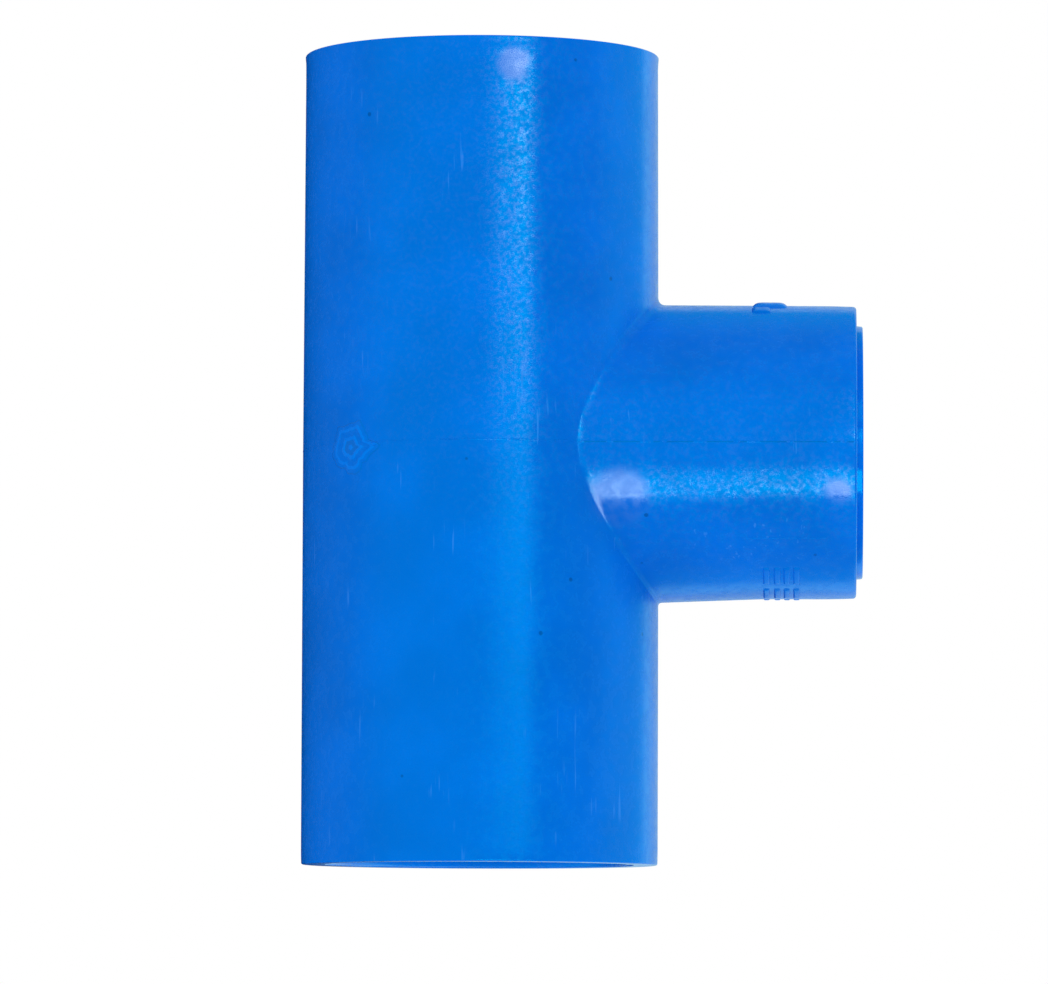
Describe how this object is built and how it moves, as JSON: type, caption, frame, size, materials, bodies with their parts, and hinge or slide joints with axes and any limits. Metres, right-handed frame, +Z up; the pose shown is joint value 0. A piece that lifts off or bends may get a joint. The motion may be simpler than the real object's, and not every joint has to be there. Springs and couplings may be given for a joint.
{
  "type": "pvc reducing tee",
  "caption": "Blue PVC solvent-weld reducing tee for irrigation pipe: a straight run with a plain socket at each end and a smaller plain socket as side branch.",
  "frame": {"origin": "where the centreline of the run and the centreline of the branch cross", "axes": "+Z up along the run, +X out along the branch, +Y towards the back of the fitting as it is seen with the branch on the right"},
  "size_m": [0.0528, 0.0336, 0.0762],
  "materials": {
    "moulded_body": "satin",
    "moulded_bore": "satin",
    "moulded_rim": "satin",
    "moulded_mark": "satin"
  },
  "bodies": {
    "root": {"run_barrel": "moulded_body", "upper_pipe_stop": "moulded_bore", "lower_pipe_stop": "moulded_bore", "upper_run_socket": "moulded_body", "lower_run_socket": "moulded_body", "upper_mouth_rim": "moulded_rim", "lower_mouth_rim": "moulded_rim", "branch_neck": "moulded_body", "branch_socket": "moulded_body", "branch_mouth_rim": "moulded_rim", "branch_face_lip": "moulded_rim", "gate_vestige": "moulded_mark", "top_mark": "moulded_mark", "bottom_mark": "moulded_mark"}
  },
  "joints": []
}
